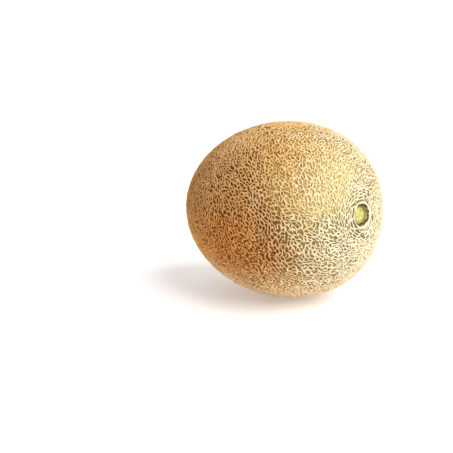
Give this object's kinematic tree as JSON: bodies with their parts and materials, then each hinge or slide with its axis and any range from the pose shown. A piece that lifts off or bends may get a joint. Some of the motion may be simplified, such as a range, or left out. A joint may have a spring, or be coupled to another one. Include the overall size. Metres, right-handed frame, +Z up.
{
  "type": "cantaloupe melon",
  "caption": "Whole cantaloupe melon on its side, cream corky net over golden rind, round stem scar with a raised collar",
  "frame": {"origin": "on the ground, under the middle of the melon's bounding box", "axes": "+X toward the stem end, along the melon's length; +Y across the melon; +Z up"},
  "size_m": [0.1742, 0.1504, 0.1485],
  "materials": {
    "netted_rind": "matt cream-tan cork net over satin golden-olive skin; pale green waxy floor in the stem scar"
  },
  "bodies": {
    "root": {"melon": "netted_rind"}
  },
  "joints": []
}
